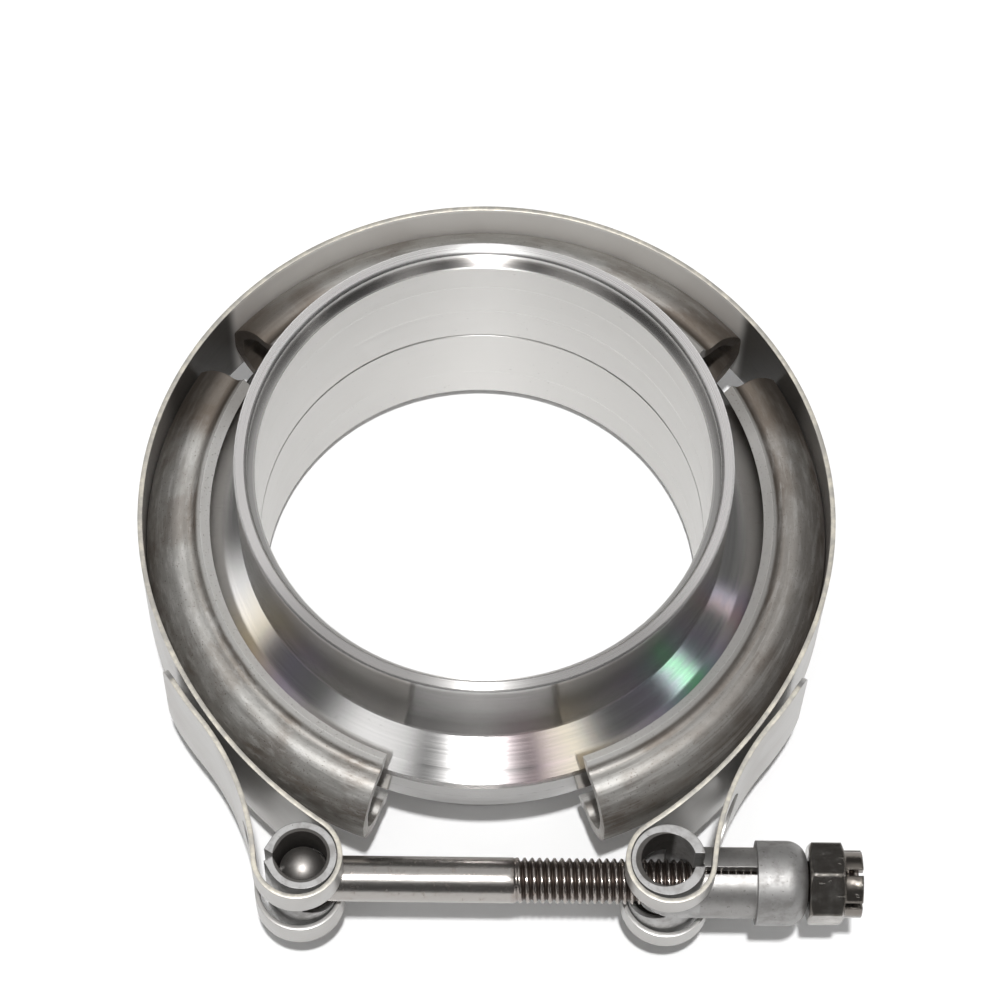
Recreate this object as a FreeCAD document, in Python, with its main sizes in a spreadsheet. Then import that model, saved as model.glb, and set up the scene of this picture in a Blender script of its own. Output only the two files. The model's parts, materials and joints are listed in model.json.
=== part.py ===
import FreeCAD, Part
import math
import os
import re
import Sketcher
from FreeCAD import Placement, Rotation, Vector

# V band clamp round a pair of weld flanges for an exhaust pipe.
# The flange axis is Z and the underside of the lower flange is z = 0. The bolt lies along X on
# the -Y side, with its nut towards +X. The clamp is loose, so it hangs a little below the joint
# of the flanges and off their axis.

doc = FreeCAD.newDocument("v_band_clamp")
sizes = doc.addObject("Spreadsheet::Sheet", "Sizes")

# Each size in millimetres or degrees, with what it is.
VALUES = [
    ("tube_dia", 50.8, "outside diameter of the tube welded into each flange"),
    ("tube_clearance", 0.2, "radial clearance of the tube in its socket"),
    ("socket_depth", 2.0, "depth of the socket"),
    ("socket_chamfer", 0.3, "chamfer at the mouth of the socket"),
    ("ledge_width", 0.8, "ledge that the tube stops against"),
    ("neck_wall", 1.4, "wall of the neck round the socket"),
    ("edge_break", 0.2, "broken outer edge of the neck"),
    ("bore_break", 0.2, "broken edge of the bore at the joint"),
    ("rim_reach", 4.9, "how far the rim stands out from the neck"),
    ("rim_edge", 2.6, "height of the cylindrical edge of each rim"),
    ("rim_break", 0.3, "broken edge between the rim and its cone"),
    ("cone_rise", 2.5, "rise of the cone from the rim to the neck"),
    ("upper_height", 17.6, "height of the upper flange over the joint"),
    ("lower_height", 15.6, "height of the lower flange under the joint"),
    ("shift_along", 0.45, "clamp axis beside the flange axis, along the bolt"),
    ("shift_across", 0.35, "clamp axis beside the flange axis, towards the bolt"),
    ("sag", 0.55, "clamp below the joint of the flanges"),
    ("rim_to_band", 6.05, "room between the rims and the band when the clamp is loose"),
    ("band_gauge", 0.55, "thickness of the band"),
    ("band_width", 14.0, "width of the band"),
    ("weld_gap", 0.05, "gap between the band and the back of a segment"),
    ("loop_bore", 4.3, "inner radius of each loop of the band"),
    ("loop_along", 19.8, "centre of each loop, along the bolt"),
    ("loop_out", 2.9, "centre of each loop beyond the band's circle, towards the bolt"),
    ("band_leave_angle", 160.0, "where the band leaves its circle for the loop, from +X"),
    ("tab_stand_off", 0.975, "gap between the band's circle and its returned tab"),
    ("tab_start_angle", 141.0, "where the tab leaves the loop's bend, from +X"),
    ("tab_end_angle", 151.0, "end of the tab, from +X"),
    ("tab_corner", 2.0, "corner radius at the end of each tab"),
    ("bolt_slot", 6.0, "height of the slot for the bolt in the left loop"),
    ("bolt_slot_angle", 160.0, "outer end of that slot, round the loop from its inner side"),
    ("sleeve_slot", 7.9, "height of the slot for the sleeve in the right loop"),
    ("sleeve_slot_angle", 230.0, "outer end of that slot, round the loop from its inner side"),
    ("slot_start_angle", 40.0, "inner end of both slots, back from the inner side of the loop"),
    ("slot_reach", 11.0, "reach of both slots from the centre of the loop"),
    ("segment_angle", 100.0, "arc of each segment"),
    ("segment_gap_angle", 10.0, "gap between the segments at the back"),
    ("segment_gauge", 1.3, "thickness of the segments"),
    ("back_flat", 1.6, "half height of the flat back of a segment"),
    ("shoulder_in", 0.4, "shoulder of the segment, inwards from its back"),
    ("flank_in", 1.6, "end of the shoulder, inwards from the back"),
    ("flank_over", 1.7, "end of the shoulder, above the rim's edge"),
    ("ridge_in", 3.4, "ridge over the leg, inwards from the back"),
    ("ridge_over", 0.6, "ridge above the foot of the cone"),
    ("crease_in", 5.3, "crease under the lip, inwards from the back"),
    ("crease_over", 0.3, "crease above the foot of the cone"),
    ("lip_in", 6.25, "edge of the lip, inwards from the back"),
    ("lip_over", 1.5, "edge of the lip above the foot of the cone"),
    ("back_bend", 3.0, "outer radius of the bend at the segment's back"),
    ("shoulder_bend", 3.5, "outer radius of the bend at the start of the shoulder"),
    ("flank_bend", 5.0, "outer radius of the bend at the end of the shoulder"),
    ("ridge_bend", 2.2, "outer radius of the ridge"),
    ("crease_bend", 0.9, "inner radius of the crease"),
    ("barrel_seat", 0.05, "gap between a barrel and the loop it bears on"),
    ("bush_radius", 3.75, "outer radius of the open bush in the left loop"),
    ("bush_wall", 1.05, "wall of the open bush"),
    ("bush_flank_angle", 150.0, "where the straight flanks of the bush leave its round side"),
    ("bush_split", 0.3, "split between the flanks of the bush"),
    ("window_height", 5.6, "height of the window for the bolt in each barrel"),
    ("barrel_radius", 3.95, "outer radius of the barrel in the right loop"),
    ("barrel_wall", 1.05, "wall of the barrel"),
    ("barrel_split", 1.5, "split in the side of the barrel"),
    ("pin_dia", 4.9, "diameter of the bolt's upright pin"),
    ("pin_height", 10.0, "height of the bolt's upright pin over its domes"),
    ("bolt_dia", 4.9, "diameter of the bolt"),
    ("bolt_tip", 40.1, "end of the bolt, along it from the clamp axis"),
    ("bolt_chamfer", 0.5, "chamfer at the end of the bolt"),
    ("bolt_clearance", 0.06, "radial clearance of the bolt in the sleeve and nut"),
    ("sleeve_radius", 3.8, "outer radius of the sleeve"),
    ("sleeve_end", 29.15, "end of the sleeve, along the bolt from the clamp axis"),
    ("seam_width", 0.8, "open seam along the top of the sleeve"),
    ("cap_length", 5.5, "length of the collar on the sleeve"),
    ("cap_radius", 4.55, "outer radius of the collar"),
    ("cap_rounding", 2.2, "rounded end of the collar"),
    ("nut_gap", 0.1, "gap between the collar and the nut"),
    ("nut_length", 3.75, "length of the nut's hexagon"),
    ("nut_flats", 8.0, "width of the nut across its flats"),
    ("nut_chamfer", 0.35, "chamfer on the corners of the nut"),
    ("nut_rest_angle", 7.4, "corner of the nut from +Z at rest, towards -Y"),
    ("lock_length", 1.95, "length of the slotted collar of the nut"),
    ("lock_radius", 3.6, "outer radius of the slotted collar"),
    ("lock_slot", 0.7, "width of each slot in that collar"),
    ("lock_slots", 6, "number of slots in that collar"),
]
for row, (alias, number, meaning) in enumerate(VALUES, start=1):
    sizes.set(f"A{row}", meaning)
    sizes.set(f"B{row}", str(number))
    sizes.setAlias(f"B{row}", alias)
doc.recompute()

# Lengths that several pieces share.
SOCKET_R = "(tube_dia / 2 + tube_clearance)"
BORE_R = f"({SOCKET_R} - ledge_width)"
NECK_R = f"({SOCKET_R} + neck_wall)"
RIM_R = f"({NECK_R} + rim_reach)"
CONE_FOOT = "(rim_edge + cone_rise)"
BAND_R = f"({RIM_R} + rim_to_band)"
BACK_R = f"({BAND_R} - weld_gap)"
JOINT_Z = "lower_height"
CLAMP_Z = "(lower_height - sag)"
LOOP_ACROSS = f"({BAND_R} + loop_out)"
BUSH_ALONG = "(loop_along - loop_bore + barrel_seat + bush_radius)"
BARREL_ALONG = "(loop_along - loop_bore + barrel_seat + barrel_radius)"
BOLT_BORE = "(bolt_dia / 2 + bolt_clearance)"


def value(expression):
    """The number that an expression over the sheet gives."""
    return float(sizes.evalExpression(expression))


def bound(expression):
    """The same expression as other objects of the document read it."""
    return re.sub(r"[a-z_]+", r"Sizes.\g<0>", expression)


def drive(sketch, kind, *where_and_expression):
    """Add one dimension to a sketch and bind it to the sheet."""
    *where, expression = where_and_expression
    unit = 1.0
    text = bound(expression)
    if kind == "Angle":
        unit = math.pi / 180
        text = f"({text}) * 1 deg"
    index = sketch.addConstraint(Sketcher.Constraint(kind, *where, value(expression) * unit))
    sketch.setExpression(f"Constraints[{index}]", text)


def new_body(name):
    """A body whose label is the name of its piece."""
    body = doc.addObject("PartDesign::Body", name)
    body.Label = name
    return body


def new_sketch(body, name, plane):
    """A sketch on one of the body's own origin planes."""
    sketch = body.newObject("Sketcher::SketchObject", f"{body.Name}_{name}")
    origin = [f for f in body.Origin.OriginFeatures if f.Role == plane][0]
    sketch.AttachmentSupport = (origin, [""])
    sketch.MapMode = "FlatFace"
    return sketch


def outline(sketch, corners):
    """Close straight sides through corners, each corner driven by two expressions."""
    first = sketch.GeometryCount
    points = [Vector(value(x), value(y), 0) for x, y in corners]
    count = len(points)
    for i, point in enumerate(points):
        sketch.addGeometry(Part.LineSegment(point, points[(i + 1) % count]), False)
    for i in range(count):
        following = first + (i + 1) % count
        sketch.addConstraint(Sketcher.Constraint("Coincident", first + i, 2, following, 1))
    for i, (x, y) in enumerate(corners):
        drive(sketch, "DistanceX", -1, 1, first + i, 1, x)
        drive(sketch, "DistanceY", -1, 1, first + i, 1, y)


def circle(sketch, radius):
    """A circle round the sketch's origin."""
    index = sketch.addGeometry(
        Part.Circle(Vector(0, 0, 0), Vector(0, 0, 1), value(radius)), False
    )
    sketch.addConstraint(Sketcher.Constraint("Coincident", index, 3, -1, 1))
    drive(sketch, "Radius", index, radius)


def arc(sketch, centre, radius, start, end):
    """An arc that runs anticlockwise from start to end, in degrees."""
    shape = Part.Circle(Vector(centre[0], centre[1], 0), Vector(0, 0, 1), radius)
    return sketch.addGeometry(
        Part.ArcOfCircle(shape, math.radians(start), math.radians(end)), False
    )


def pad(body, name, sketch, length, symmetric=False):
    """Raise a sketch by a length, or by half of it to each side."""
    feature = body.newObject("PartDesign::Pad", f"{body.Name}_{name}")
    feature.Profile = sketch
    feature.setExpression("Length", bound(length))
    if symmetric:
        feature.SideType = "Symmetric"
    return feature


def pocket(body, name, sketch, length, symmetric=False, reversed_side=False):
    """Cut a sketch into the body."""
    feature = body.newObject("PartDesign::Pocket", f"{body.Name}_{name}")
    feature.Profile = sketch
    feature.setExpression("Length", bound(length))
    feature.Reversed = reversed_side
    if symmetric:
        feature.SideType = "Symmetric"
    return feature


def revolve(body, name, sketch, axis, angle="360"):
    """Turn a sketch round one of its own axes, by half the angle to each side."""
    feature = body.newObject("PartDesign::Revolution", f"{body.Name}_{name}")
    feature.Profile = sketch
    feature.ReferenceAxis = (sketch, [axis])
    feature.Midplane = True
    feature.setExpression("Angle", bound(angle))
    return feature


def round_edges(body, name, radius, chosen):
    """Round the edges of the body's last feature for which chosen(edge) holds."""
    doc.recompute()
    base = body.Tip
    edges = [f"Edge{i}" for i, e in enumerate(base.Shape.Edges, start=1) if chosen(e)]
    feature = body.newObject("PartDesign::Fillet", f"{body.Name}_{name}")
    feature.Base = (base, edges)
    feature.setExpression("Radius", bound(radius))
    return feature


def place(body, x, y, z, axis=Vector(0, 0, 1), angle=0):
    """Set a body in the part's frame, with its position bound to the sheet."""
    body.Placement = Placement(Vector(value(x), value(y), value(z)), Rotation(axis, angle))
    body.setExpression("Placement.Base.x", bound(x))
    body.setExpression("Placement.Base.y", bound(y))
    body.setExpression("Placement.Base.z", bound(z))


def place_in_clamp(body, along="0", across="0", angle=0):
    """Set a body at a point of the clamp's mid plane, given from the clamp's axis."""
    place(body, f"shift_along + {along}", f"0 - shift_across - {across}", CLAMP_Z, angle=angle)


def flange(name, height, axis, angle):
    """A weld flange, turned from one profile: rim, cone, neck and tube socket."""
    body = new_body(name)
    sketch = new_sketch(body, "profile", "XZ_Plane")
    outline(
        sketch,
        [
            (BORE_R, "bore_break"),
            (f"{BORE_R} + bore_break", "0"),
            (RIM_R, "0"),
            (RIM_R, "rim_edge - rim_break"),
            (f"{RIM_R} - rim_break", "rim_edge + rim_break * cone_rise / rim_reach"),
            (NECK_R, CONE_FOOT),
            (NECK_R, f"{height} - edge_break"),
            (f"{NECK_R} - edge_break", height),
            (f"{SOCKET_R} + socket_chamfer", height),
            (SOCKET_R, f"{height} - socket_chamfer"),
            (SOCKET_R, f"{height} - socket_depth"),
            (BORE_R, f"{height} - socket_depth"),
        ],
    )
    revolve(body, "turning", sketch, "V_Axis")
    place(body, "0", "0", JOINT_Z, axis, angle)


def offset_corners(points, distance):
    """Corners of the line that runs beside an open line of corners, to its right."""
    normals = []
    for a, b in zip(points, points[1:]):
        run = (b - a).normalize()
        normals.append(Vector(run.y, -run.x, 0))
    beside = [points[0] + normals[0] * distance]
    for corner, before, after in zip(points[1:], normals, normals[1:]):
        beside.append(corner + (before + after) * (distance / (1 + before.dot(after))))
    beside.append(points[-1] + normals[-1] * distance)
    return beside


def formed_sheet(sketch, corners, gauge):
    """A bent sheet's section: driven outer sides, inner sides parallel to them at the gauge."""
    outer = [Vector(value(x), value(y), 0) for x, y in corners]
    inner = offset_corners(outer, -value(gauge))
    sides = len(outer) - 1
    for line in (outer, inner):
        for a, b in zip(line, line[1:]):
            sketch.addGeometry(Part.LineSegment(a, b), False)
    for line in (0, sides):
        for i in range(line, line + sides - 1):
            sketch.addConstraint(Sketcher.Constraint("Coincident", i, 2, i + 1, 1))
    for i, (x, y) in enumerate(corners[:-1]):
        drive(sketch, "DistanceX", -1, 1, i, 1, x)
        drive(sketch, "DistanceY", -1, 1, i, 1, y)
    drive(sketch, "DistanceX", -1, 1, sides - 1, 2, corners[-1][0])
    drive(sketch, "DistanceY", -1, 1, sides - 1, 2, corners[-1][1])
    for i in range(sides):
        sketch.addConstraint(Sketcher.Constraint("Parallel", sides + i, i))
        drive(sketch, "Distance", sides + i, 1, i, gauge)
    for point, side in ((1, 0), (2, sides - 1)):
        start = outer[0] if point == 1 else outer[-1]
        end = inner[0] if point == 1 else inner[-1]
        cap = sketch.addGeometry(Part.LineSegment(start, end), False)
        sketch.addConstraint(Sketcher.Constraint("Coincident", cap, 1, side, point))
        sketch.addConstraint(Sketcher.Constraint("Coincident", cap, 2, sides + side, point))
        sketch.addConstraint(Sketcher.Constraint("Perpendicular", cap, side))


def segment(name, middle):
    """One rolled V segment: back, two shoulders, two legs with a ridge, and turned-up lips.

    Each bend has one radius on the side it bulges to and that radius plus the gauge, or less it,
    on the other side.
    """
    body = new_body(name)
    sketch = new_sketch(body, "section", "XZ_Plane")
    half = [
        (BACK_R, "back_flat"),
        (f"{BACK_R} - shoulder_in", "rim_edge"),
        (f"{BACK_R} - flank_in", "rim_edge + flank_over"),
        (f"{BACK_R} - ridge_in", f"{CONE_FOOT} + ridge_over"),
        (f"{BACK_R} - crease_in", f"{CONE_FOOT} + crease_over"),
        (f"{BACK_R} - lip_in", f"{CONE_FOOT} + lip_over"),
    ]
    mirrored = [(x, f"0 - ({y})") for x, y in reversed(half)]
    formed_sheet(sketch, mirrored + half, "segment_gauge")
    revolve(body, "rolling", sketch, "V_Axis", "segment_angle")

    outer = [Vector(value(x), value(y), 0) for x, y in half]
    below = Vector(outer[0].x, -outer[0].y, 0)
    inner = offset_corners([below] + outer, -value("segment_gauge"))[1:]
    bends = [
        ("back", "back_bend", "back_bend - segment_gauge"),
        ("shoulder", "shoulder_bend", "shoulder_bend - segment_gauge"),
        ("flank", "flank_bend", "flank_bend - segment_gauge"),
        ("ridge", "ridge_bend", "ridge_bend - segment_gauge"),
        ("crease", "crease_bend", "crease_bend + segment_gauge"),
    ]
    for i, (bend, outside, inside) in enumerate(bends):
        for side, corner, radius in (("out", outer[i], outside), ("in", inner[i], inside)):

            def is_bend(edge, corner=corner):
                """Whether an edge is one of the two arcs that this corner turns on."""
                if not isinstance(edge.Curve, Part.Circle):
                    return False
                height = abs(edge.Curve.Center.z)
                return math.hypot(edge.Curve.Radius - corner.x, height - corner.y) < 0.001

            round_edges(body, f"{bend}_{side}", radius, is_bend)
    place_in_clamp(body, angle=middle)


def direction(angle):
    """The unit vector at an angle in degrees from +X."""
    return Vector(math.cos(math.radians(angle)), math.sin(math.radians(angle)), 0)


def bearing(point):
    """The angle of a point from +X, in degrees from 0 to 360."""
    return math.degrees(math.atan2(point.y, point.x)) % 360


def band():
    """The band: one strip, looped at both ends and returned on its outside.

    It leaves its circle on a wider arc that touches the loop, goes round the loop, and comes
    back in one arc that touches both the loop and the circle of the tab.
    """
    body = new_body("strap")
    path = new_sketch(body, "path", "XY_Plane")
    girth_r = value(f"{BAND_R} + band_gauge / 2")
    tab_r = value(f"{BAND_R} + band_gauge * 3 / 2 + tab_stand_off")
    loop_r = value("loop_bore + band_gauge / 2")
    loop = Vector(-value("loop_along"), -value(LOOP_ACROSS), 0)
    leave, start, end = (
        360 - value(a) for a in ("band_leave_angle", "tab_start_angle", "tab_end_angle")
    )

    touch = girth_r + loop_r
    widening = (loop.Length**2 - touch**2) / (2 * (touch - direction(leave).dot(loop)))
    run_centre = direction(leave) * -widening
    meet_in = bearing(loop - run_centre)
    step = tab_r - loop_r
    reach = (loop.Length**2 - step**2) / (2 * (direction(start).dot(loop) - step))
    bend_centre = direction(start) * reach
    meet_out = bearing(bend_centre - loop)

    girth = arc(path, (0, 0), girth_r, 90, leave)
    run = arc(path, run_centre, girth_r + widening, leave, meet_in)
    eye = arc(path, loop, loop_r, meet_out, meet_in + 180)
    sweep = arc(path, bend_centre, reach - tab_r, meet_out - 180, start - 180)
    tail = arc(path, (0, 0), tab_r, end, start)
    for piece in (girth, tail):
        path.addConstraint(Sketcher.Constraint("Coincident", piece, 3, -1, 1))
    path.addConstraint(Sketcher.Constraint("PointOnObject", girth, 1, -2))
    path.addConstraint(Sketcher.Constraint("Tangent", girth, 2, run, 1))
    path.addConstraint(Sketcher.Constraint("Tangent", run, 2, eye, 2))
    path.addConstraint(Sketcher.Constraint("Tangent", eye, 1, sweep, 1))
    path.addConstraint(Sketcher.Constraint("Tangent", sweep, 2, tail, 2))
    drive(path, "Radius", girth, f"{BAND_R} + band_gauge / 2")
    drive(path, "Radius", tail, f"{BAND_R} + band_gauge * 3 / 2 + tab_stand_off")
    drive(path, "Radius", eye, "loop_bore + band_gauge / 2")
    drive(path, "DistanceX", -1, 1, eye, 3, "0 - loop_along")
    drive(path, "DistanceY", -1, 1, eye, 3, f"0 - {LOOP_ACROSS}")
    for piece, point, radius, angle, name in (
        (girth, 2, girth_r, leave, "band_leave_angle"),
        (tail, 1, tab_r, end, "tab_end_angle"),
        (tail, 2, tab_r, start, "tab_start_angle"),
    ):
        ray = path.addGeometry(Part.LineSegment(Vector(0, 0, 0), direction(angle) * radius), True)
        path.addConstraint(Sketcher.Constraint("Coincident", ray, 1, -1, 1))
        path.addConstraint(Sketcher.Constraint("Coincident", ray, 2, piece, point))
        drive(path, "Angle", ray, 1, -1, 1, name)

    section = new_sketch(body, "section", "YZ_Plane")
    outline(
        section,
        [
            (BAND_R, "0 - band_width / 2"),
            (f"{BAND_R} + band_gauge", "0 - band_width / 2"),
            (f"{BAND_R} + band_gauge", "band_width / 2"),
            (BAND_R, "band_width / 2"),
        ],
    )
    doc.recompute()
    strip = body.newObject("PartDesign::AdditivePipe", "strap_strip")
    strip.Profile = section
    strip.Spine = (path, [f"Edge{i}" for i in range(1, 6)])
    doc.recompute()

    def is_tab_corner(edge):
        """Whether an edge crosses the sheet at a corner of the tab's end."""
        if abs(edge.Length - value("band_gauge")) > 0.01:
            return False
        return abs(bearing(edge.CenterOfMass) - end) < 0.1

    round_edges(body, "tab", "tab_corner", is_tab_corner)
    both = body.newObject("PartDesign::Mirrored", "strap_both")
    both.Originals = [strip, body.Tip]
    plane = [f for f in body.Origin.OriginFeatures if f.Role == "YZ_Plane"][0]
    both.MirrorPlane = (plane, [""])
    body.Tip = both
    doc.recompute()
    loop_slot(
        body,
        "left",
        "0 - loop_along",
        "bolt_slot",
        ("0 - bolt_slot_angle", "slot_start_angle"),
    )
    loop_slot(
        body,
        "right",
        "loop_along",
        "sleeve_slot",
        ("180 - slot_start_angle", "sleeve_slot_angle - 180"),
    )
    place_in_clamp(body)


def loop_slot(body, side, along, height, ends):
    """The slot round the outer part of one loop, cut as a fan from the loop's centre."""
    sketch = new_sketch(body, f"{side}_slot", "XY_Plane")
    centre = Vector(value(along), -value(LOOP_ACROSS), 0)
    start, end = (value(e) for e in ends)
    if end < start:
        end += 360
    reach = value("slot_reach")
    rim = arc(sketch, centre, reach, start, end)
    for point, bearing, expression in ((1, start, ends[0]), (2, end, ends[1])):
        tip = Vector(math.cos(math.radians(bearing)), math.sin(math.radians(bearing)), 0)
        ray = sketch.addGeometry(Part.LineSegment(centre, centre + tip * reach), False)
        sketch.addConstraint(Sketcher.Constraint("Coincident", ray, 1, rim, 3))
        sketch.addConstraint(Sketcher.Constraint("Coincident", ray, 2, rim, point))
        drive(sketch, "Angle", -1, 1, ray, 1, expression)
    drive(sketch, "Radius", rim, "slot_reach")
    drive(sketch, "DistanceX", -1, 1, rim, 3, along)
    drive(sketch, "DistanceY", -1, 1, rim, 3, f"0 - {LOOP_ACROSS}")
    pocket(body, f"{side}_opening", sketch, height, symmetric=True)


def window(body, radius, towards_bolt_head):
    """The long window through one half of a barrel, round at its ends, that the bolt passes."""
    sketch = new_sketch(body, "window_shape", "YZ_Plane")
    high = value("window_height / 2")
    offset = f"{radius} - window_height / 2"
    wide = value(offset)
    right = arc(sketch, (wide, 0), high, -90, 90)
    left = arc(sketch, (-wide, 0), high, 90, 270)
    top = sketch.addGeometry(
        Part.LineSegment(Vector(wide, high, 0), Vector(-wide, high, 0)), False
    )
    low = sketch.addGeometry(
        Part.LineSegment(Vector(-wide, -high, 0), Vector(wide, -high, 0)), False
    )
    sketch.addConstraint(Sketcher.Constraint("Tangent", right, 2, top, 1))
    sketch.addConstraint(Sketcher.Constraint("Tangent", top, 2, left, 1))
    sketch.addConstraint(Sketcher.Constraint("Tangent", left, 2, low, 1))
    sketch.addConstraint(Sketcher.Constraint("Tangent", low, 2, right, 1))
    sketch.addConstraint(Sketcher.Constraint("PointOnObject", right, 3, -1))
    drive(sketch, "Radius", right, "window_height / 2")
    drive(sketch, "DistanceX", -1, 1, right, 3, offset)
    drive(sketch, "DistanceX", left, 3, -1, 1, offset)
    pocket(body, "window", sketch, f"{radius} * 2", reversed_side=not towards_bolt_head)


def saddle_bush():
    """The open bush in the left loop: round towards the bolt, two straight flanks behind."""
    body = new_body("saddle_bush")
    sketch = new_sketch(body, "plan", "XY_Plane")
    outer = value("bush_radius")
    inner = value("bush_radius - bush_wall")
    bearing = math.radians(value("bush_flank_angle"))
    normal = Vector(math.cos(bearing), math.sin(bearing), 0)
    half_split = value("bush_split / 2")
    corner = Vector((inner - normal.y * half_split) / normal.x, half_split, 0)
    tip = corner + normal * (outer - inner)
    rims = []
    for radius in (outer, inner):
        rims.append(arc(sketch, (0, 0), radius, -math.degrees(bearing), math.degrees(bearing)))
        sketch.addConstraint(Sketcher.Constraint("Coincident", rims[-1], 3, -1, 1))
    drive(sketch, "Radius", rims[0], "bush_radius")
    drive(sketch, "Radius", rims[1], "bush_radius - bush_wall")
    for point, sign in ((2, 1), (1, -1)):
        lines = []
        for rim, radius, end in zip(rims, (outer, inner), (tip, corner)):
            begin = Vector(normal.x * radius, normal.y * radius * sign, 0)
            line = Part.LineSegment(begin, Vector(end.x, end.y * sign, 0))
            lines.append(sketch.addGeometry(line, False))
            sketch.addConstraint(Sketcher.Constraint("Tangent", lines[-1], 1, rim, point))
        face = sketch.addGeometry(
            Part.LineSegment(Vector(tip.x, tip.y * sign, 0), Vector(corner.x, corner.y * sign, 0)),
            False,
        )
        sketch.addConstraint(Sketcher.Constraint("Coincident", face, 1, lines[0], 2))
        sketch.addConstraint(Sketcher.Constraint("Coincident", face, 2, lines[1], 2))
        sketch.addConstraint(Sketcher.Constraint("Perpendicular", face, lines[0]))
        sketch.addConstraint(Sketcher.Constraint("Parallel", lines[0], lines[1]))
        limit = "bush_split / 2" if sign > 0 else "0 - bush_split / 2"
        drive(sketch, "DistanceY", -1, 1, face, 2, limit)
        heading = "bush_flank_angle - 270" if sign > 0 else "270 - bush_flank_angle"
        drive(sketch, "Angle", -1, 1, lines[0], 1, heading)
    pad(body, "ring", sketch, "band_width", symmetric=True)
    window(body, "bush_radius", False)
    place_in_clamp(body, f"0 - {BUSH_ALONG}", LOOP_ACROSS)


def t_bolt():
    """The T bolt: an upright pin with domed ends and the long shank, forged in one."""
    body = new_body("t_bolt")
    sketch = new_sketch(body, "pin_half", "XZ_Plane")
    radius = value("pin_dia / 2")
    high = value("pin_height / 2") - radius
    top = arc(sketch, (0, high), radius, 0, 90)
    low = arc(sketch, (0, -high), radius, -90, 0)
    side = sketch.addGeometry(
        Part.LineSegment(Vector(radius, -high, 0), Vector(radius, high, 0)), False
    )
    middle = sketch.addGeometry(
        Part.LineSegment(Vector(0, high + radius, 0), Vector(0, -high - radius, 0)), False
    )
    sketch.addConstraint(Sketcher.Constraint("Tangent", side, 2, top, 1))
    sketch.addConstraint(Sketcher.Constraint("Tangent", side, 1, low, 2))
    sketch.addConstraint(Sketcher.Constraint("Coincident", middle, 1, top, 2))
    sketch.addConstraint(Sketcher.Constraint("Coincident", middle, 2, low, 1))
    sketch.addConstraint(Sketcher.Constraint("PointOnObject", top, 3, -2))
    sketch.addConstraint(Sketcher.Constraint("PointOnObject", low, 3, -2))
    sketch.addConstraint(Sketcher.Constraint("PointOnObject", top, 2, -2))
    sketch.addConstraint(Sketcher.Constraint("PointOnObject", low, 1, -2))
    drive(sketch, "Radius", top, "pin_dia / 2")
    drive(sketch, "DistanceY", -1, 1, top, 2, "pin_height / 2")
    drive(sketch, "DistanceY", low, 1, -1, 1, "pin_height / 2")
    revolve(body, "pin", sketch, "V_Axis")
    shank = new_sketch(body, "shank_half", "XZ_Plane")
    length = f"{BUSH_ALONG} + bolt_tip"
    outline(
        shank,
        [
            ("0", "0"),
            (length, "0"),
            (length, "bolt_dia / 2 - bolt_chamfer"),
            (f"{length} - bolt_chamfer", "bolt_dia / 2"),
            ("0", "bolt_dia / 2"),
        ],
    )
    revolve(body, "shank", shank, "H_Axis")
    place_in_clamp(body, f"0 - {BUSH_ALONG}", LOOP_ACROSS)


def barrel_trunnion():
    """The rolled barrel in the right loop with the split sleeve that guides the bolt."""
    body = new_body("barrel_trunnion")
    plan = new_sketch(body, "plan", "XY_Plane")
    half_split = value("barrel_split / 2")
    ends = []
    rims = []
    for radius in ("barrel_radius", "barrel_radius - barrel_wall"):
        reach = value(radius)
        angle = math.degrees(math.asin(half_split / reach))
        ends.append(math.sqrt(reach**2 - half_split**2))
        rims.append(arc(plan, (0, 0), reach, angle, 360 - angle))
        plan.addConstraint(Sketcher.Constraint("Coincident", rims[-1], 3, -1, 1))
        drive(plan, "Radius", rims[-1], radius)
    for point, sign in ((1, 1), (2, -1)):
        face = plan.addGeometry(
            Part.LineSegment(
                Vector(ends[0], sign * half_split, 0), Vector(ends[1], sign * half_split, 0)
            ),
            False,
        )
        plan.addConstraint(Sketcher.Constraint("Coincident", face, 1, rims[0], point))
        plan.addConstraint(Sketcher.Constraint("Coincident", face, 2, rims[1], point))
        plan.addConstraint(Sketcher.Constraint("Horizontal", face))
        limit = "barrel_split / 2" if sign > 0 else "0 - barrel_split / 2"
        drive(plan, "DistanceY", -1, 1, face, 1, limit)
    pad(body, "barrel", plan, "band_width", symmetric=True)
    window(body, "barrel_radius", True)
    tube = new_sketch(body, "sleeve_round", "YZ_Plane")
    circle(tube, "sleeve_radius")
    pad(body, "sleeve", tube, f"sleeve_end - {BARREL_ALONG}")
    bore = new_sketch(body, "barrel_bore", "XY_Plane")
    circle(bore, "barrel_radius - barrel_wall")
    pocket(body, "barrel_hollow", bore, "band_width", symmetric=True)
    hole = new_sketch(body, "bolt_hole", "YZ_Plane")
    circle(hole, BOLT_BORE)
    pocket(body, "bolt_way", hole, "sleeve_end", symmetric=True)
    seam = new_sketch(body, "seam_plan", "XY_Plane")
    outline(
        seam,
        [
            ("0", "0 - barrel_split / 2"),
            ("barrel_radius", "0 - barrel_split / 2"),
            ("barrel_radius", "0 - seam_width / 2"),
            ("sleeve_end", "0 - seam_width / 2"),
            ("sleeve_end", "seam_width / 2"),
            ("barrel_radius", "seam_width / 2"),
            ("barrel_radius", "barrel_split / 2"),
            ("0", "barrel_split / 2"),
        ],
    )
    pocket(body, "seam", seam, "band_width / 2", reversed_side=True)
    place_in_clamp(body, BARREL_ALONG, LOOP_ACROSS)


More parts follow.
